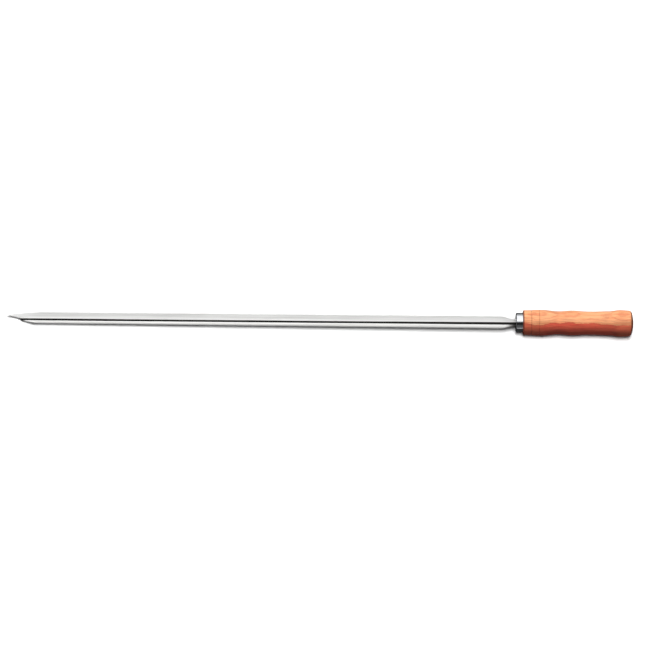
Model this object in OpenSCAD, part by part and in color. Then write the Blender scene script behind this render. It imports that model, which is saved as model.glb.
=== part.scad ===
// Skewer for roasting over a fire: a folded V-section blade whose hidden tang is bedded in a
// turned wooden handle, behind a drawn steel ferrule.
// X runs along the skewer, from the point at -X to the butt at +X. The blade's fold is its
// lowest line, and the V opens upwards, along +Z. The origin is under the middle of the length,
// level with the lowest point of the handle.

/* [Overall] */
// Length from the point to the butt
overall_length = 750; // [550:50:950]

/* [Blade] */
// Width of each leaf, along the inner face from the fold
leaf_width = 9.3; // [8.5:0.1:9.8]
// Thickness of the sheet
sheet = 1.5; // [1:0.1:1.8]
// Angle between the two leaves
fold_angle = 98; // [94:1:110]
// Radius on the inside of the fold
fold_radius = 1.5; // [0.8:0.1:1.6]
// Depth of the inside of the fold below the skewer's axis
fold_drop = 4.9; // [4:0.1:5]
// How much narrower the shorter leaf is at its pointed end
leaf_taper = 2.4; // [0:0.1:2.4]

/* [Point] */
// Distance of the point from the fold, across the skewer
point_offset = 3.3; // [2:0.1:4]
// Length of the curved edge behind the point
point_curve = 40; // [30:1:50]
// Length of the slanting cut from the point to the fold
point_cut = 15.6; // [12:0.1:22]
// Length of the slanting cut from the fold to the edge of the shorter leaf
heel_cut = 16.4; // [12:0.1:22]

/* [Tang] */
// Half of the neck's width where it enters the ferrule
neck_half = 5.5; // [4.5:0.1:5.6]
// Length of the curved shoulders
shoulder_length = 15; // [10:1:25]
// Length of the straight neck in front of the ferrule
neck_length = 2; // [1:1:12]
// How far the tang reaches into the wood behind the ferrule
tang_depth = 70; // [40:1:80]
// Length of the tapered end of the tang
tang_taper = 12; // [4:1:20]
// Half of the tang's width at its very end
tang_end_half = 2; // [1:0.1:4]

/* [Ferrule] */
// Outer diameter of the ferrule
ferrule_d = 23; // [21:0.5:25]
// Length of the ferrule
ferrule_length = 8.6; // [7:0.1:14]
// Wall of the drawn ferrule
ferrule_wall = 1; // [0.6:0.1:1.2]
// Radius on the ferrule's front corner
ferrule_corner = 1.5; // [1.2:0.1:2.5]
// Gap between the neck and the slot in the ferrule's front
slot_gap = 0.25; // [0.1:0.05:0.5]

/* [Handle] */
// Length of the wood behind the ferrule
handle_length = 132; // [120:1:145]
// Largest radius of the handle, near its butt
butt_radius = 15.9; // [15:0.1:18]
// Radius of the round edge of the butt
butt_fillet = 4; // [2:0.5:5]
// Radius of the domed face of the butt
butt_dome = 45; // [30:1:80]
// Width of each turned line on the collar
line_width = 0.9; // [0.6:0.1:1.5]
// Depth of each turned line
line_depth = 0.4; // [0.2:0.1:0.6]
// Diameter of the hole for the tang
bore_d = 12.5; // [12:0.5:13]

/* [Hidden] */
$fn = 96;

axis_z = butt_radius;                  // the lowest point of the handle is at zero
point_x = -overall_length / 2;
handle_x = -point_x - handle_length;   // the wood's front shoulder, which the ferrule meets
ferrule_x = handle_x - ferrule_length; // the ferrule's front face
shoulder_x = ferrule_x - neck_length - shoulder_length;
beyond = 1;                            // how far a cutting shape runs past what it cuts

half_fold = fold_angle / 2;
fold_z = axis_z - fold_drop;
blade_half = leaf_width * sin(half_fold) + sheet * cos(half_fold);

// Stations of the turned outline: share of the handle's length, and share of the butt radius.
// The outline is level at every station and swings smoothly from each one to the next.
turned = [
    [0.000, 0.925], // front shoulder
    [0.160, 0.972], // collar
    [0.322, 0.868], // waist behind the collar
    [0.447, 0.931], // belly under the palm
    [0.576, 0.873], // long waist, from here
    [0.636, 0.873], // to here
    [0.773, 0.906], // start of the flare
    [0.886, 1.000], // butt bulge
    [0.968, 0.969], // start of the butt's round edge
    [1.000, 0.969]
];
turned_step = 2;                       // distance between points on the turned outline
front_round = 1;                       // radius of the wood's front edge
line_places = [0.074, 0.145];          // turned lines, as shares of the handle's length

spigot_r = ferrule_d / 2 - ferrule_wall;
spigot_gap = 0.2;                      // space between the wooden spigot and the ferrule's front
spigot_x = ferrule_x + ferrule_wall + spigot_gap;
bore_r = bore_d / 2;
tang_x = handle_x + tang_depth;
bore_spare = 2;                        // how much deeper the hole is than the tang
bore_x = tang_x + bore_spare;

// A half cosine from a to b as t goes from 0 to 1.
function ease(a, b, t) = a + (b - a) * (1 - cos(180 * t)) / 2;

// Points on an arc of radius r about c, from angle a0 to a1.
function arc(c, r, a0, a1, steps) =
    [for (i = [0:steps]) let (a = a0 + (a1 - a0) * i / steps) c + r * [cos(a), sin(a)]];

// Lays a shape drawn along Z on the skewer's axis, with its zero at x.
module along_axis(x) {
    translate([x, 0, axis_z]) rotate([0, 90, 0]) children();
}

// Cross-section of the folded sheet: X is across the skewer and Y is up, and the origin is where
// the two inner faces would meet. grow widens it on every side, for cutting a slot.
module fold_section(grow) {
    inner = fold_radius - grow;
    outer = inner + sheet + 2 * grow;
    centre = [0, inner / sin(half_fold)];
    along = [sin(half_fold), cos(half_fold)];
    through = [cos(half_fold), -sin(half_fold)];
    edge = (leaf_width + grow) * along;
    under = edge + (outer - inner) * through;
    translate([0, grow / sin(half_fold)])
        polygon(concat([edge],
                       arc(centre, inner, -half_fold, half_fold - 180, 8),
                       [[-edge[0], edge[1]], [-under[0], under[1]]],
                       arc(centre, outer, half_fold - 180, -half_fold, 12),
                       [under]));
}

// The folded sheet as a bar from x0 to x1.
module fold_bar(x0, x1, grow = 0) {
    translate([x0, 0, fold_z]) rotate([90, 0, 90]) linear_extrude(x1 - x0) fold_section(grow);
}

// Outline that the blade and its tang are trimmed to, seen from above.
module blade_outline() {
    steps = 12;
    wide = blade_half + beyond;
    narrow = blade_half - leaf_taper;
    point_edge = [for (i = [0:steps]) let (t = i / steps)
        [point_x + point_curve * t * t, point_offset + (blade_half - point_offset) * t]];
    shoulder = [for (i = [0:steps]) let (t = i / steps)
        [shoulder_x + shoulder_length * t, ease(blade_half, neck_half, t)]];
    tang = [[tang_x - tang_taper, neck_half], [tang_x, tang_end_half]];
    long_side = concat(point_edge, [[point_x + point_curve, wide], [shoulder_x, wide]],
                       shoulder, tang);
    short_side = [for (i = [1:-1:0]) [tang[i][0], -tang[i][1]]];
    short_shoulder = [for (i = [steps:-1:0]) [shoulder[i][0], -shoulder[i][1]]];
    polygon(concat(long_side, short_side, short_shoulder,
                   [[point_x + point_cut + heel_cut, -narrow], [point_x + point_cut, 0]]));
}

module blade() {
    color("gainsboro") intersection() {
        fold_bar(point_x - beyond, tang_x + beyond);
        linear_extrude(2 * axis_z) blade_outline();
    }
}

// The slot that the neck passes through in the ferrule's front.
module neck_slot() {
    intersection() {
        fold_bar(ferrule_x - beyond, ferrule_x + ferrule_wall + beyond, slot_gap);
        translate([ferrule_x - 2 * beyond, -neck_half - slot_gap, 0])
            cube([ferrule_wall + 4 * beyond, 2 * (neck_half + slot_gap), 2 * axis_z]);
    }
}

module ferrule() {
    r = ferrule_d / 2;
    front_edge = arc([r - ferrule_corner, ferrule_corner], ferrule_corner, -90, 0, 8);
    color("silver") difference() {
        along_axis(ferrule_x) rotate_extrude() difference() {
            polygon(concat([[0, 0]], front_edge, [[r, ferrule_length], [0, ferrule_length]]));
            translate([-beyond, ferrule_wall]) square([spigot_r + beyond, ferrule_length]);
        }
        neck_slot();
    }
}

// Radius of the turned outline at a distance behind the front shoulder.
function turned_radius(distance) =
    let (share = distance / handle_length,
         i = max([for (k = [0:len(turned) - 2]) if (share >= turned[k][0]) k]),
         t = (share - turned[i][0]) / (turned[i + 1][0] - turned[i][0]))
    butt_radius * ease(turned[i][1], turned[i + 1][1], t);

// The butt's round edge and domed face, as [radius, distance] points. The edge is an arc that
// leaves the turned outline along X and runs into the dome.
function butt_end() =
    let (r = turned_radius(handle_length) - butt_fillet,
         dome_centre = handle_length - butt_dome,
         edge_centre = dome_centre + sqrt(pow(butt_dome - butt_fillet, 2) - pow(r, 2)),
         meet = asin(r / (butt_dome - butt_fillet)))
    concat(arc([r, edge_centre], butt_fillet, 0, 90 - meet, 10),
           arc([0, dome_centre], butt_dome, 90 - meet * 7 / 8, 90, 7));

// Half section of the wood behind its front shoulder, as [radius, distance] points.
function handle_section() =
    let (r0 = turned_radius(0),
         last = turned[len(turned) - 2][0] * handle_length,
         front_edge = arc([r0 - front_round, front_round], front_round, -90, 0, 5),
         sides = [for (s = [turned_step:turned_step:last - 1]) [turned_radius(s), s]])
    concat([[0, 0]], front_edge, sides, butt_end());

module turned_line(distance) {
    half = line_width / 2;
    translate([turned_radius(distance), distance])
        polygon([[0, -half], [-line_depth, 0], [0, half], [beyond, 0]]);
}

module handle() {
    color("peru") difference() {
        union() {
            along_axis(handle_x) rotate_extrude() difference() {
                polygon(handle_section());
                for (share = line_places) turned_line(share * handle_length);
            }
            along_axis(spigot_x) cylinder(h = handle_x - spigot_x + beyond, r = spigot_r);
        }
        along_axis(spigot_x - beyond) cylinder(h = bore_x - spigot_x + beyond, r = bore_r);
    }
}

// The hardened adhesive that fills the hole around the tang.
module tang_adhesive() {
    color("burlywood") difference() {
        along_axis(spigot_x) cylinder(h = bore_x - spigot_x, r = bore_r);
        blade();
    }
}

blade();
ferrule();
handle();
tang_adhesive();
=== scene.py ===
"""A roasting skewer: a folded V-section steel blade, a drawn steel ferrule and a turned handle.

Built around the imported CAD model, in its frame, in metres: +X runs from the point to the butt,
the V opens along +Z, and the camera looks down from the -Y side. The near leaf is the -Y one.
"""
import math

import bmesh
import bpy
from mathutils import Matrix, Vector


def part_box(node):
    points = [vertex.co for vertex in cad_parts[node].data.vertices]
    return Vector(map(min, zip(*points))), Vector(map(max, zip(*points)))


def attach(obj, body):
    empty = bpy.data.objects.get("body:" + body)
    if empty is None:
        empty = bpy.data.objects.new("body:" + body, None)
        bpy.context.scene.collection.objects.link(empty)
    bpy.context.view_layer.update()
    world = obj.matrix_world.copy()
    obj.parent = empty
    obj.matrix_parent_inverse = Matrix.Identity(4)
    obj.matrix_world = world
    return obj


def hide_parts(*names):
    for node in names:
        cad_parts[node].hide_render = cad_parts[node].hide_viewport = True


MM = 0.001

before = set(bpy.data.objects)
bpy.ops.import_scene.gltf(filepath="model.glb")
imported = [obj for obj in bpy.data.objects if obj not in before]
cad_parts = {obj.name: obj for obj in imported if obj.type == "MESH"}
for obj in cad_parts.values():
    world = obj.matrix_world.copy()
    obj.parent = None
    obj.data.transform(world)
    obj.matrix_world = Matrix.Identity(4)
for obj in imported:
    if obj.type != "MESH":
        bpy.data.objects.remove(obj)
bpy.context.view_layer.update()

# ---------------------------------------------------------------- sizes, from the CAD model

BLADE_LO, BLADE_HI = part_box("blade")
FERRULE_LO, FERRULE_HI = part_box("ferrule")
HANDLE_LO, HANDLE_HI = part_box("handle")

POINT_X = BLADE_LO[0]
TANG_X = BLADE_HI[0]
FERRULE_X = FERRULE_LO[0]
HANDLE_X = FERRULE_HI[0]
SPIGOT_X = HANDLE_LO[0]
BUTT_X = HANDLE_HI[0]
AXIS_Z = (FERRULE_LO[2] + FERRULE_HI[2]) / 2
FERRULE_R = (FERRULE_HI[2] - FERRULE_LO[2]) / 2
BUTT_R = (HANDLE_HI[1] - HANDLE_LO[1]) / 2
HANDLE_LENGTH = BUTT_X - HANDLE_X

# The folded sheet, as the CAD model has it.
LEAF = 9.3 * MM
SHEET = 1.5 * MM
HALF_FOLD = math.radians(49)
FOLD_R = 1.5 * MM
FOLD_Z = AXIS_Z - 4.9 * MM
LEAF_TAPER = 2.4 * MM
POINT_OFFSET = 3.3 * MM
POINT_CURVE = 40 * MM
POINT_CUT = 15.6 * MM
HEEL_CUT = 16.4 * MM
NECK_HALF = 5.5 * MM
SHOULDER = 15 * MM
NECK = 2 * MM
TANG_TAPER = 12 * MM
TANG_END_HALF = 2 * MM
SLOT_GAP = 0.25 * MM

# Where the blade's shoulders start, and where its slanting cut meets the near leaf's edge.
SHOULDER_X = FERRULE_X - NECK - SHOULDER
HEEL_X = POINT_X + POINT_CUT + HEEL_CUT

# The ferrule's wall and the handle's hole.
WALL = 1 * MM
FERRULE_CORNER = 1.5 * MM
FERRULE_REAR_ROUND = 0.3 * MM
SPIGOT_R = FERRULE_R - WALL
BORE_R = 6.25 * MM
BORE_X = TANG_X + 2 * MM

# Stations of the turned outline: share of the handle's length, and share of the butt radius.
TURNED = [(0.000, 0.925), (0.160, 0.972), (0.322, 0.868), (0.447, 0.931), (0.576, 0.873),
          (0.636, 0.873), (0.773, 0.906), (0.886, 1.000), (0.968, 0.969), (1.000, 0.969)]
TURNED_LINES = (0.074, 0.145)
LINE_WIDTH = 0.75 * MM
LINE_DEPTH = 0.42 * MM
FRONT_ROUND = 1.0 * MM
BUTT_FILLET = 4 * MM
BUTT_DOME = 45 * MM


# ---------------------------------------------------------------- mesh helpers

def ease(a, b, t):
    """A half cosine from a to b as t goes from 0 to 1."""
    return a + (b - a) * (1 - math.cos(math.pi * t)) / 2


def arc(centre, radius, start, end, steps):
    """Points on an arc, with its angles in degrees."""
    turns = [math.radians(start + (end - start) * i / steps) for i in range(steps + 1)]
    return [(centre[0] + radius * math.cos(a), centre[1] + radius * math.sin(a)) for a in turns]


def spread(start, end, step):
    """Evenly spaced numbers from start to end, no further apart than step."""
    count = max(1, math.ceil((end - start) / step - 1e-6))
    return [start + (end - start) * i / count for i in range(count + 1)]


def finish_mesh(name, bm, smooth_angle):
    """Makes an object of bm, with faces smooth except across edges sharper than smooth_angle."""
    bmesh.ops.remove_doubles(bm, verts=bm.verts, dist=1e-6)
    bmesh.ops.dissolve_degenerate(bm, edges=bm.edges, dist=1e-7)
    bmesh.ops.recalc_face_normals(bm, faces=bm.faces)
    mesh = bpy.data.meshes.new(name)
    bm.to_mesh(mesh)
    bm.free()
    for face in mesh.polygons:
        face.use_smooth = True
    mesh.set_sharp_from_angle(angle=math.radians(smooth_angle))
    piece = bpy.data.objects.new(name, mesh)
    bpy.context.scene.collection.objects.link(piece)
    return piece


def bridge(bm, ring_a, ring_b):
    """Faces between two closed rings of as many vertices."""
    count = len(ring_a)
    for i in range(count):
        j = (i + 1) % count
        bm.faces.new([ring_a[i], ring_a[j], ring_b[j], ring_b[i]])


def on_axis(x, radius, turn):
    """A point at a distance from the skewer's axis, turned about it."""
    return Vector((x, radius * math.sin(turn), AXIS_Z + radius * math.cos(turn)))


def lathe_ring(bm, x, radius, segments):
    return [bm.verts.new(on_axis(x, radius, 2 * math.pi * i / segments)) for i in range(segments)]


def lathe(bm, profile, segments):
    """Turns (x, radius) points about the skewer's axis. A radius of zero closes the form."""
    rings = [lathe_ring(bm, x, max(radius, 1e-7), segments) for x, radius in profile]
    for ring_a, ring_b in zip(rings, rings[1:]):
        bridge(bm, ring_a, ring_b)
    for ring, (_, radius) in ((rings[0], profile[0]), (rings[-1], profile[-1])):
        if radius == 0:
            bmesh.ops.pointmerge(bm, verts=ring, merge_co=ring[0].co)
    return rings


# ---------------------------------------------------------------- the blade

# Distances across the sheet, from the middle of the fold, on its inner face.
FOLD_HALF = FOLD_R * (math.pi / 2 - HALF_FOLD)
LEAF_EDGE = FOLD_HALF + LEAF - FOLD_R / math.tan(HALF_FOLD)
EDGE_ROUND = 0.22 * MM
GROUND_BEVEL = 1.5 * MM
BEVEL_FADE = 2 * MM
MOST_BEVELLED = 0.7  # of the sheet's width, where it is narrow


def across(plan_half):
    """Distance across the sheet of a point that lies plan_half from the fold, seen from above."""
    return FOLD_HALF + (plan_half - FOLD_R * math.cos(HALF_FOLD)) / math.sin(HALF_FOLD)


# Where the sheet ends at the neck, whose outer face is NECK_HALF wide, and at the tang's end.
NECK_EDGE = across(NECK_HALF - SHEET * math.cos(HALF_FOLD))
TANG_END_EDGE = across(TANG_END_HALF)


def sheet_point(x, distance, depth):
    """A point of the folded sheet: distance across it from the fold, depth below its inner face."""
    side = math.copysign(1, distance)
    centre_z = FOLD_Z + FOLD_R / math.sin(HALF_FOLD)
    beyond = max(abs(distance) - FOLD_HALF, 0)
    turn = min(abs(distance) / FOLD_HALF, 1) * (math.pi / 2 - HALF_FOLD)
    radius = FOLD_R + depth
    y = radius * math.sin(turn) + beyond * math.sin(HALF_FOLD)
    z = centre_z - radius * math.cos(turn) + beyond * math.cos(HALF_FOLD)
    return Vector((x, side * y, z))


def blade_edges(x):
    """Where the sheet ends at x, as distances across it on the near and the far side."""
    behind = x - POINT_X
    far_side = LEAF_EDGE
    tip = across(POINT_OFFSET)
    heel = LEAF_EDGE - LEAF_TAPER
    if behind < POINT_CURVE:
        far_side = tip + (LEAF_EDGE - tip) * math.sqrt(behind / POINT_CURVE)
    if behind < POINT_CUT:
        return tip * (1 - behind / POINT_CUT), far_side
    if x < HEEL_X:
        return -heel * (behind - POINT_CUT) / HEEL_CUT, far_side
    if x < SHOULDER_X:
        along = (x - HEEL_X) / (SHOULDER_X - HEEL_X)
        return -heel - (LEAF_EDGE - heel) * along, far_side
    half = NECK_EDGE
    if x < SHOULDER_X + SHOULDER:
        half = ease(LEAF_EDGE, NECK_EDGE, (x - SHOULDER_X) / SHOULDER)
    elif x > TANG_X - TANG_TAPER:
        half = TANG_END_EDGE + (NECK_EDGE - TANG_END_EDGE) * (TANG_X - x) / TANG_TAPER
    return -half, half


def sheet_ring(x, distances):
    """The sheet's outline at x, as points round it, with its four corners rounded.

    The slanting cut behind the point is ground to a bevel, which fades out past the fold.
    """
    low, high = blade_edges(x)
    corner = min(EDGE_ROUND, (high - low) / 2)
    past_fold = max(x - POINT_X - POINT_CUT, 0)
    bevel = GROUND_BEVEL * max(1 - past_fold / BEVEL_FADE, 0)
    bevel = min(bevel, MOST_BEVELLED * (high - low - 2 * corner))
    inner = [(min(max(d, low + corner + bevel), high - corner), 0) for d in distances]
    outer = [(min(max(d, low + corner), high - corner), SHEET) for d in reversed(distances)]
    high_edge = (arc((high - corner, corner), corner, -90, 0, 4)[1:]
                 + arc((high - corner, SHEET - corner), corner, 0, 90, 4)[:-1])
    low_edge = (arc((low + corner, SHEET - corner), corner, 90, 180, 4)[1:]
                + arc((low + corner + bevel, corner), corner, 180, 270, 4)[:-1])
    return [sheet_point(x, d, depth) for d, depth in inner + high_edge + outer + low_edge]


def blade_stations():
    """Places along the blade where its outline is drawn, closer together where it changes."""
    places = [POINT_X + d * MM for d in (0.01, 0.05, 0.12, 0.25, 0.45, 0.7, 1, 1.4, 1.8, 2.3)]
    places += spread(POINT_X + 3 * MM, POINT_X + POINT_CUT, 0.7 * MM)
    places += spread(POINT_X + POINT_CUT, HEEL_X, 0.8 * MM)[1:]
    places += spread(HEEL_X, POINT_X + POINT_CURVE, 1 * MM)[1:]
    places += spread(POINT_X + POINT_CURVE, SHOULDER_X, 12 * MM)[1:]
    places += spread(SHOULDER_X, SHOULDER_X + SHOULDER, 0.6 * MM)[1:]
    places += spread(SHOULDER_X + SHOULDER, TANG_X - TANG_TAPER, 6 * MM)[1:]
    places += spread(TANG_X - TANG_TAPER, TANG_X, 3 * MM)[1:]
    return places


def make_blade():
    """The sheet's outline, carried along the blade from the point to the tang's end."""
    leaf = spread(FOLD_HALF, LEAF_EDGE, 0.7 * MM)
    fold = spread(-FOLD_HALF, FOLD_HALF, 0.14 * MM)
    distances = [-d for d in reversed(leaf)] + fold[1:-1] + leaf
    bm = bmesh.new()
    rings = [[bm.verts.new(p) for p in sheet_ring(x, distances)] for x in blade_stations()]
    for ring_a, ring_b in zip(rings, rings[1:]):
        bridge(bm, ring_a, ring_b)
    inner = len(distances)
    per_side = (len(rings[0]) - 2 * inner) // 2
    for ring in (rings[0], rings[-1]):
        close_sheet_end(bm, ring, inner, per_side)
    return finish_mesh("skewer_blade", bm, 25)


def close_sheet_end(bm, ring, inner, per_side):
    """Closes an end of the sheet with faces from its inner to its outer side."""
    outer = inner + per_side
    last = outer + inner - 1
    for i in range(inner - 1):
        bm.faces.new([ring[i], ring[i + 1], ring[last - 1 - i], ring[last - i]])
    bm.faces.new(ring[inner - 1:outer + 1])
    bm.faces.new(ring[last:] + [ring[0]])


# ---------------------------------------------------------------- the ferrule

def slot_outline(gap):
    """The V slot in the ferrule's front, as (y, z) points, gap wider than the neck all round."""
    half = NECK_EDGE + gap
    upper = [sheet_point(0, d, -gap) for d in spread(-half, half, 0.5 * MM)]
    lower = [sheet_point(0, d, SHEET + gap) for d in reversed(spread(-half, half, 0.5 * MM))]
    return [(p.y, p.z) for p in upper + lower]


def loop_edges(bm, ring):
    """Edges round a closed ring, made where they don't exist yet."""
    pairs = zip(ring, ring[1:] + ring[:1])
    return [bm.edges.get(pair) or bm.edges.new(pair) for pair in pairs]


def make_ferrule():
    slot_bevel = 0.15 * MM
    front = arc((FERRULE_R - FERRULE_CORNER, FERRULE_CORNER), FERRULE_CORNER, -90, 0, 10)
    rear = arc((FERRULE_R - FERRULE_REAR_ROUND, HANDLE_X - FERRULE_X - FERRULE_REAR_ROUND),
               FERRULE_REAR_ROUND, 0, 90, 4)
    profile = [(FERRULE_X + s, r) for r, s in front + rear]
    profile += [(HANDLE_X, SPIGOT_R), (FERRULE_X + WALL, SPIGOT_R)]
    bm = bmesh.new()
    rings = lathe(bm, profile, 128)
    slots = []
    for depth, gap in ((0, SLOT_GAP + slot_bevel), (slot_bevel, SLOT_GAP), (WALL, SLOT_GAP)):
        slots.append([bm.verts.new((FERRULE_X + depth, y, z)) for y, z in slot_outline(gap)])
    for ring_a, ring_b in zip(slots, slots[1:]):
        bridge(bm, ring_a, ring_b)
    for ring, slot in ((rings[0], slots[0]), (rings[-1], slots[-1])):
        edges = loop_edges(bm, ring) + loop_edges(bm, slot)
        bmesh.ops.triangle_fill(bm, use_beauty=True, edges=edges)
    return finish_mesh("skewer_ferrule", bm, 30)


# ---------------------------------------------------------------- the handle

def turned_radius(distance):
    """Radius of the turned outline at a distance behind the front shoulder."""
    share = distance / HANDLE_LENGTH
    i = max(k for k in range(len(TURNED) - 1) if share >= TURNED[k][0] - 1e-9)
    t = (share - TURNED[i][0]) / (TURNED[i + 1][0] - TURNED[i][0])
    return BUTT_R * ease(TURNED[i][1], TURNED[i + 1][1], t)


def line_depth(distance):
    """Depth of the turned lines at a distance behind the front shoulder: rounded grooves."""
    offsets = [(distance - share * HANDLE_LENGTH) / (LINE_WIDTH / 2) for share in TURNED_LINES]
    return sum(LINE_DEPTH * math.exp(-offset ** 2) for offset in offsets)


def butt_end():
    """The butt's round edge and domed face, as (distance, radius) points."""
    radius = turned_radius(HANDLE_LENGTH) - BUTT_FILLET
    dome_centre = HANDLE_LENGTH - BUTT_DOME
    edge_centre = dome_centre + math.sqrt((BUTT_DOME - BUTT_FILLET) ** 2 - radius ** 2)
    meet = math.degrees(math.asin(radius / (BUTT_DOME - BUTT_FILLET)))
    edge = arc((radius, edge_centre), BUTT_FILLET, 0, 90 - meet, 14)
    dome = arc((0, dome_centre), BUTT_DOME, 90 - meet, 90, 24)[1:]
    points = [(s, r) for r, s in edge + dome]
    points[-1] = (HANDLE_LENGTH, 0)
    return points


def make_handle():
    front_r = turned_radius(0)
    profile = [(BORE_X, 0), (BORE_X, BORE_R), (SPIGOT_X, BORE_R), (SPIGOT_X, SPIGOT_R),
               (HANDLE_X, SPIGOT_R)]
    front = arc((front_r - FRONT_ROUND, FRONT_ROUND), FRONT_ROUND, -90, 0, 6)
    profile += [(HANDLE_X + s, r) for r, s in front]
    end = butt_end()
    for s in spread(FRONT_ROUND, end[0][0], 0.35 * MM)[1:-1]:
        profile.append((HANDLE_X + s, turned_radius(s) - line_depth(s)))
    profile += [(HANDLE_X + s, r) for s, r in end]
    bm = bmesh.new()
    lathe(bm, profile, 160)
    return finish_mesh("skewer_handle", bm, 40)


# ---------------------------------------------------------------- material helpers

class Nodes:
    """A node tree that is built with one call for each node."""

    def __init__(self, tree):
        self.tree = tree

    def add(self, kind, settings=(), **inputs):
        """A node with those settings. Its inputs are named, or numbered as i0, i1 and so on."""
        made = self.tree.nodes.new("ShaderNode" + kind)
        for key, value in dict(settings).items():
            setattr(made, key, value)
        for key, value in inputs.items():
            numbered = key[0] == "i" and key[1:].isdigit()
            self.put(made.inputs[int(key[1:]) if numbered else key.replace("_", " ")], value)
        return made

    def put(self, socket, value):
        if isinstance(value, bpy.types.NodeSocket):
            self.tree.links.new(value, socket)
        else:
            socket.default_value = value

    def position(self):
        return self.add("TexCoord").outputs["Object"]

    def math(self, operation, a, b=0.0, clamp=False):
        made = self.add("Math", {"operation": operation, "use_clamp": clamp}, i0=a, i1=b)
        return made.outputs[0]

    def step(self, value, low, high, to_low=0.0, to_high=1.0):
        """Smoothly to_low below low and to_high above high."""
        made = self.add("MapRange", {"interpolation_type": "SMOOTHSTEP"}, Value=value,
                        From_Min=low, From_Max=high, To_Min=to_low, To_Max=to_high)
        return made.outputs["Result"]

    def scaled(self, vector, factors):
        made = self.add("VectorMath", {"operation": "MULTIPLY"}, i0=vector, i1=factors)
        return made.outputs[0]

    def noise(self, vector, factors, detail, roughness):
        """Noise from 0 to 1, with that many features to the metre along each axis."""
        made = self.add("TexNoise", Vector=self.scaled(vector, factors), Scale=1.0,
                        Detail=detail, Roughness=roughness)
        return made.outputs["Fac"]

    def mix(self, factor, a, b):
        """Colour a, with that much of colour b laid over it."""
        made = self.add("Mix", {"data_type": "RGBA"})
        self.put(made.inputs[0], factor)
        self.put(made.inputs[6], a)
        self.put(made.inputs[7], b)
        return made.outputs[2]

    def bump(self, height, distance, strength):
        made = self.add("Bump", Height=height, Distance=distance, Strength=strength)
        return made.outputs["Normal"]


class Shader(Nodes):
    """A material with one Principled surface."""

    def __init__(self, name):
        self.material = bpy.data.materials.new(name)
        self.material.use_nodes = True
        super().__init__(self.material.node_tree)
        self.surface = self.tree.nodes["Principled BSDF"]

    def set(self, **inputs):
        """Values and links of the surface's own sockets."""
        for key, value in inputs.items():
            self.put(self.surface.inputs[key.replace("_", " ")], value)


# ---------------------------------------------------------------- materials

STEEL_SHADE = (0.022, 0.021, 0.020, 1)  # painted shade, in the fold and at the neck


def blade_steel():
    """Satin rolled sheet with fine streaks, painted highlights, and painted shade in the fold and
    at the neck.
    """
    s = Shader("blade_steel")
    place = s.position()
    x, y, z = s.add("SeparateXYZ", Vector=place).outputs
    streaks = s.noise(place, (6, 2600, 2600), 3, 0.6)
    broad = s.noise(place, (9, 420, 420), 2, 0.5)
    cloud = s.noise(place, (14, 60, 60), 2, 0.5)
    tone = s.math("ADD", s.step(streaks, 0.3, 0.7, -0.5, 0.5), s.step(broad, 0.3, 0.7, -0.5, 0.5))
    colour = s.mix(s.math("ADD", s.math("MULTIPLY", tone, 0.45), 0.5, clamp=True),
                   (0.63, 0.63, 0.62, 1), (0.92, 0.92, 0.91, 1))

    # Painted highlights beside the fold and towards the point, and painted shade on the near leaf's
    # margin.
    from_fold = s.math("ABSOLUTE", y)
    colour = s.mix(s.step(from_fold, 1.5 * MM, 4.5 * MM, 0.6, 0.0), colour, (0.97, 0.97, 0.96, 1))
    point_highlight = s.step(x, POINT_X + 4 * MM, POINT_X + 42 * MM, 1.0, 0.0)
    colour = s.mix(point_highlight, colour, (1.0, 1.0, 0.99, 1))
    margin_shade = s.step(y, -6.5 * MM, -2.5 * MM, 0.45, 0.0)
    colour = s.mix(margin_shade, colour, (0.42, 0.42, 0.41, 1))

    # Painted shade in the fold's crease, on the inner side, a little towards -Y and wider towards
    # the handle.
    up = s.math("SUBTRACT", z, FOLD_Z + FOLD_R / math.sin(HALF_FOLD))
    squares = s.math("ADD", s.math("MULTIPLY", y, y), s.math("MULTIPLY", up, up))
    inside = s.step(s.math("SQRT", squares), FOLD_R + 0.5 * MM, FOLD_R + 0.9 * MM, 1.0, 0.0)
    half = s.step(x, 50 * MM, FERRULE_X, 1.25 * MM, 1.55 * MM)
    half = s.math("ADD", half, s.math("MULTIPLY", s.math("SUBTRACT", broad, 0.5), 0.5 * MM))
    from_middle = s.math("ABSOLUTE", s.math("ADD", y, 0.12 * MM))
    past_edge = s.math("SUBTRACT", from_middle, half)
    fold_shade = s.math("MULTIPLY", inside, s.step(past_edge, -0.15 * MM, 0.35 * MM, 1.0, 0.0))
    colour = s.mix(fold_shade, colour, STEEL_SHADE)

    # Painted shade on the near leaf, where it runs into the ferrule.
    ragged = s.math("ADD", x, s.math("MULTIPLY", tone, 2 * MM))
    neck_shade = s.step(ragged, FERRULE_X - 13.5 * MM, FERRULE_X - 1.5 * MM, 0.0, 0.97)
    neck_shade = s.math("MULTIPLY", neck_shade, s.step(y, -0.8 * MM, 0.0, 1.0, 0.0))
    colour = s.mix(neck_shade, colour, STEEL_SHADE)

    rough = s.math("ADD", s.math("MULTIPLY", broad, 0.12), s.math("MULTIPLY", cloud, 0.10))
    rough = s.math("ADD", rough, 0.42)
    round_the_blade = s.add("Tangent", {"direction_type": "RADIAL", "axis": "X"}).outputs[0]
    s.set(Base_Color=colour, Metallic=1.0, Roughness=rough, Anisotropic=0.8,
          Tangent=round_the_blade, Normal=s.bump(streaks, 0.02 * MM, 0.35))
    return s.material


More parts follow.
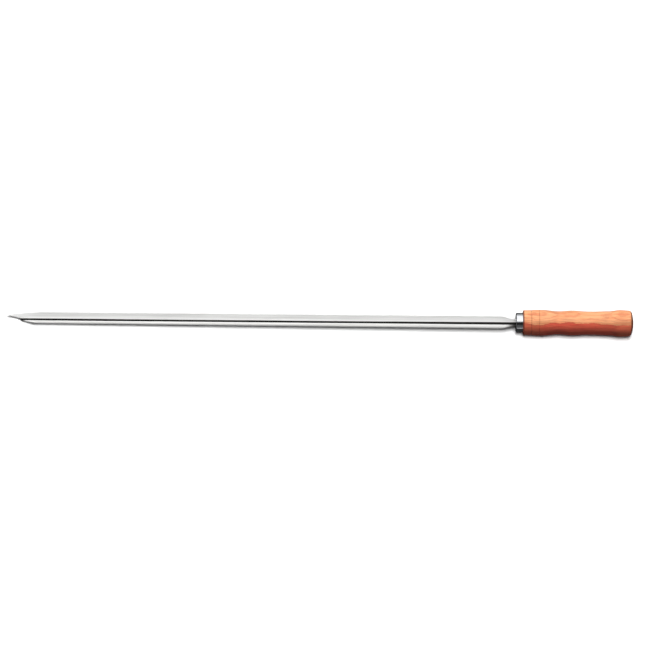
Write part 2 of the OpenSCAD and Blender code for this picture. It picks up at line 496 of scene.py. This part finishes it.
def ferrule_steel():
    """Polished drawn stainless steel, with faint turning marks and a faint haze."""
    s = Shader("ferrule_steel")
    place = s.position()
    rings = s.noise(place, (5200, 30, 30), 2, 0.5)
    haze = s.noise(place, (160, 160, 160), 3, 0.55)
    colour = s.mix(haze, (0.48, 0.49, 0.51, 1), (0.58, 0.59, 0.61, 1))
    rough = s.math("ADD", s.math("MULTIPLY", haze, 0.10), 0.08)
    s.set(Base_Color=colour, Metallic=1.0, Roughness=rough, Normal=s.bump(rings, 0.01 * MM, 0.2))
    return s.material


def handle_wood():
    """Orange sapwood over brick-red heartwood, paler near both ends, under a satin varnish."""
    s = Shader("handle_wood")
    place = s.position()
    x, y, z = s.add("SeparateXYZ", Vector=place).outputs
    up = s.math("SUBTRACT", z, AXIS_Z)

    # Growth layers: nearly flat sheets along the handle, bent a little by slow noise. The
    # sapwood's limit is bent by quicker noise too, which makes the flames.
    lean = math.radians(22)
    slow = s.math("SUBTRACT", s.noise(place, (18, 45, 45), 2, 0.5), 0.5)
    quick = s.math("SUBTRACT", s.noise(place, (60, 110, 110), 4, 0.66), 0.5)
    layer = s.math("ADD", s.math("MULTIPLY", y, math.sin(lean)),
                   s.math("MULTIPLY", up, math.cos(lean)))
    layer = s.math("ADD", layer, s.math("MULTIPLY", slow, 4 * MM))
    limit = s.math("ADD", layer, s.math("MULTIPLY", quick, 9 * MM))
    sapwood = s.step(limit, 8.9 * MM, 10.9 * MM)
    layer = s.math("ADD", layer, s.math("MULTIPLY", quick, 2.5 * MM))
    wave = s.math("SINE", s.math("MULTIPLY", layer, 2 * math.pi / (1.7 * MM)))
    growth = s.step(wave, 0.1, 1.0)
    from_limit = s.math("ABSOLUTE", s.math("SUBTRACT", limit, 9.3 * MM))
    edge_line = s.step(from_limit, 0.1 * MM, 0.6 * MM, 0.4, 0.0)

    # Fibres, streaks and pores run with the grain.
    fibres = s.noise(place, (34, 1500, 1500), 3, 0.6)
    streaks = s.noise(place, (22, 430, 430), 2, 0.5)
    patches = s.noise(place, (38, 90, 90), 2, 0.5)
    pores = s.step(s.noise(place, (120, 3400, 3400), 1, 0.5), 0.66, 0.74)

    red = s.mix(s.step(streaks, 0.35, 0.65), (0.78, 0.090, 0.056, 1), (0.94, 0.140, 0.086, 1))
    orange = s.mix(s.step(streaks, 0.35, 0.65), (0.90, 0.340, 0.155, 1), (0.97, 0.480, 0.240, 1))
    pale = s.math("MAXIMUM", s.step(x, BUTT_X - 26 * MM, BUTT_X - 12 * MM, 0.0, 0.5),
                  s.step(x, HANDLE_X + 12 * MM, HANDLE_X + 28 * MM, 0.45, 0.0))
    red = s.mix(pale, red, (1.0, 0.245, 0.125, 1))
    colour = s.mix(sapwood, red, orange)
    colour = s.mix(s.math("MULTIPLY", growth, 0.32), colour, (0.42, 0.075, 0.035, 1))
    colour = s.mix(edge_line, colour, (0.40, 0.055, 0.030, 1))
    colour = s.mix(s.step(fibres, 0.35, 0.75, 0.0, 0.2), colour, (0.95, 0.42, 0.20, 1))
    colour = s.mix(s.step(patches, 0.45, 0.75, 0.0, 0.4), colour, (0.40, 0.110, 0.060, 1))
    colour = s.mix(s.math("MULTIPLY", pores, 0.35), colour, (0.16, 0.040, 0.018, 1))

    # Painted shade on the butt's dome and the front shoulder, which turn away from the light,
    # and in the recesses of the turned lines.
    painted_end_shade = s.math("MAXIMUM", s.step(x, BUTT_X - 4.0 * MM, BUTT_X - 2.8 * MM, 0.0, 0.85),
                       s.step(x, HANDLE_X + 0.7 * MM, HANDLE_X + 1.7 * MM, 0.75, 0.0))
    for share in TURNED_LINES:
        from_line = s.math("ABSOLUTE", s.math("SUBTRACT", x, HANDLE_X + share * HANDLE_LENGTH))
        in_line = s.step(from_line, 0.2 * MM, 0.75 * MM, 0.32, 0.0)
        painted_end_shade = s.math("MAXIMUM", painted_end_shade, in_line)
    rings = s.noise(place, (60, 900, 900), 2, 0.6)
    darkest = s.mix(s.math("MULTIPLY", s.math("ADD", growth, s.step(rings, 0.4, 0.7)), 0.5),
                    (0.21, 0.048, 0.026, 1), (0.085, 0.018, 0.012, 1))
    colour = s.mix(painted_end_shade, colour, darkest)

    rough = s.math("ADD", s.math("MULTIPLY", fibres, 0.14), 0.40)
    s.set(Base_Color=colour, Roughness=rough, Specular_IOR_Level=0.35, Coat_Weight=0.1,
          Coat_Roughness=0.25, Normal=s.bump(fibres, 0.04 * MM, 0.3))
    return s.material


def resin():
    """Hardened resin, cloudy and a little glossy."""
    s = Shader("tang_resin")
    cloud = s.noise(s.position(), (300, 300, 300), 3, 0.5)
    s.set(Base_Color=s.mix(cloud, (0.42, 0.31, 0.16, 1), (0.60, 0.49, 0.30, 1)),
          Roughness=s.math("ADD", s.math("MULTIPLY", cloud, 0.2), 0.35))
    return s.material


# ---------------------------------------------------------------- the pieces

def fit(piece, node, material):
    """Puts piece in place of a CAD node, which it hides, on the root body and with a material."""
    piece.data.materials.append(material)
    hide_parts(node)
    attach(piece, "root")
    return piece


skewer = [fit(make_blade(), "blade", blade_steel()),
          fit(make_ferrule(), "ferrule", ferrule_steel()),
          fit(make_handle(), "handle", handle_wood())]
for material_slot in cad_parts["tang_adhesive"].material_slots:
    material_slot.material = resin()


# ---------------------------------------------------------------- stage, light and camera

# What polished surfaces show: the Y part of a direction, from the front (-1) over the top to
# the back (1), and the brightness in that direction.
REFLECTED = [(-1.0, 0.15), (-0.90, 0.15), (-0.74, 0.03), (-0.42, 0.03), (-0.30, 0.25),
             (-0.06, 2.2), (0.10, 2.2), (0.30, 1.8), (0.85, 1.8), (1.0, 0.5)]
MOST_REFLECTED = 4.0  # scale of the ramp, whose own colours end at 1
DARK_ENDS = 0.08      # what is left of the reflection at the room's two ends, along X
AMBIENT = 0.12        # light that dull surfaces get from the room
BACKDROP = 0.9        # what the camera sees behind the stage

# The skewer lies on the handle's collar, with the fold behind the point just above the floor.
POINT_GAP = 2 * MM
COLLAR_X = HANDLE_X + TURNED[1][0] * HANDLE_LENGTH
COLLAR_Z = AXIS_Z - TURNED[1][1] * BUTT_R
FOLD_UNDER_Z = FOLD_Z + FOLD_R / math.sin(HALF_FOLD) - FOLD_R - SHEET
FLOOR_SLOPE = (FOLD_UNDER_Z - POINT_GAP - COLLAR_Z) / (POINT_X + POINT_CUT - COLLAR_X)


def grey(level):
    return (level, level, level, 1)


def make_floor():
    """A plain pale table, tilted a little so that the skewer lies on it.

    Far away it glows like the backdrop, so no edge shows. Reflections see it darker, with a
    painted shadow under the skewer.
    """
    reach = 30.0
    mesh = bpy.data.meshes.new("floor")
    corners = [(x, y, COLLAR_Z + FLOOR_SLOPE * (x - COLLAR_X))
               for x, y in ((-reach, -reach), (reach, -reach), (reach, reach), (-reach, reach))]
    mesh.from_pydata(corners, [], [(0, 1, 2, 3)])
    floor = bpy.data.objects.new("floor", mesh)
    bpy.context.scene.collection.objects.link(floor)
    s = Shader("floor")
    path = s.add("LightPath").outputs
    place = s.position()
    aside = s.math("ABSOLUTE", s.add("SeparateXYZ", Vector=place).outputs["Y"])
    away = s.add("VectorMath", {"operation": "LENGTH"}, i0=place).outputs["Value"]
    # Painted shadow: reflections see the floor darkest in a band under the skewer.
    mirrored = s.mix(s.step(aside, 0.06, 0.16), grey(0.03), grey(0.5))
    colour = s.mix(path["Is Glossy Ray"], grey(0.1), mirrored)
    colour = s.mix(path["Is Camera Ray"], colour, grey(0.93))
    far = s.step(away, 0.45, 1.0)
    glow = s.math("MULTIPLY", s.math("MULTIPLY", far, path["Is Camera Ray"]), BACKDROP)
    s.set(Base_Color=s.mix(far, colour, grey(0.1)), Roughness=0.9,
          Specular_IOR_Level=0.0, Emission_Color=grey(1), Emission_Strength=glow)
    mesh.materials.append(s.material)
    return floor


def soft_light(name, x, lean, distance, size, power, lit, mirrored=False):
    """A soft box over the skewer at x, leaning back by that many degrees, which lights only lit.

    It shows in reflections only if it is mirrored.
    """
    data = bpy.data.lights.new(name, "AREA")
    data.shape = "RECTANGLE"
    data.size, data.size_y = size
    data.energy = power
    lamp = bpy.data.objects.new(name, data)
    lean = math.radians(lean)
    lamp.location = (x, distance * math.sin(lean), AXIS_Z + distance * math.cos(lean))
    lamp.rotation_euler = (-lean, 0, 0)
    lamp.visible_glossy = mirrored
    receivers = bpy.data.collections.new(name + "_lights")
    for piece in lit:
        receivers.objects.link(piece)
    lamp.light_linking.receiver_collection = receivers
    bpy.context.scene.collection.objects.link(lamp)


def make_world():
    """A pale room, which reflections see as REFLECTED says, with dark ends."""
    world = bpy.data.worlds.new("room")
    world.use_nodes = True
    world.cycles.sampling_method = "NONE"
    n = Nodes(world.node_tree)
    direction = n.add("SeparateXYZ", i0=n.add("TexCoord").outputs["Generated"]).outputs
    place = n.math("MULTIPLY", n.math("ADD", direction["Y"], 1.0), 0.5)
    ramp = n.add("ValToRGB", i0=place)
    stops = ramp.color_ramp.elements
    while len(stops) < len(REFLECTED):
        stops.new(1.0)
    for stop, (y, level) in zip(stops, REFLECTED):
        stop.position = (y + 1) / 2
        stop.color = [level / MOST_REFLECTED] * 3 + [1]
    sideways = n.math("ABSOLUTE", direction["X"])
    ends = n.step(sideways, 0.6, 0.9, MOST_REFLECTED, DARK_ENDS * MOST_REFLECTED)
    mirrored = n.math("MULTIPLY", ramp.outputs["Color"], ends)
    path = n.add("LightPath").outputs
    lit = n.add("Mix", i0=path["Is Diffuse Ray"], i2=mirrored, i3=AMBIENT).outputs[0]
    seen = n.add("Mix", i0=path["Is Camera Ray"], i2=lit, i3=BACKDROP).outputs[0]
    background = n.tree.nodes["Background"]
    n.put(background.inputs["Color"], grey(1))
    n.put(background.inputs["Strength"], seen)
    bpy.context.scene.world = world


def make_camera():
    """Looks down from in front, so that the skewer fills the width of the picture."""
    elevation = math.radians(68)
    roll = math.radians(-0.51)
    picture_width = 772.7 * MM
    to_camera = Vector((0, -math.cos(elevation), math.sin(elevation)))
    up = Vector((0, math.sin(elevation), math.cos(elevation)))
    data = bpy.data.cameras.new("camera")
    data.lens = 180
    data.sensor_width = 36
    data.clip_end = 100
    distance = picture_width * data.lens / data.sensor_width
    # The picture's middle is a little off the skewer's.
    target = Vector((2.9 * MM, 0, AXIS_Z)) - up * 2.2 * MM
    camera = bpy.data.objects.new("camera", data)
    right = Vector((1, 0, 0))
    turn = Matrix((right, up, to_camera)).transposed().to_4x4()
    camera.matrix_world = (Matrix.Translation(target + to_camera * distance) @ turn
                           @ Matrix.Rotation(-roll, 4, "Z"))
    bpy.context.scene.collection.objects.link(camera)
    bpy.context.scene.camera = camera


blade = skewer[0]
soft_light("overhead", x=0.3, lean=-5, distance=2.5, size=(0.8, 1.15), power=88, lit=[make_floor()])
soft_light("softbox", x=0, lean=25, distance=1.2, size=(2.0, 0.7), power=23.5, lit=skewer)
soft_light("fill", x=-0.2, lean=-50, distance=1.0, size=(1.5, 0.5), power=4.2, lit=[blade],
           mirrored=True)
make_world()
make_camera()
bpy.context.scene.view_settings.view_transform = "Standard"
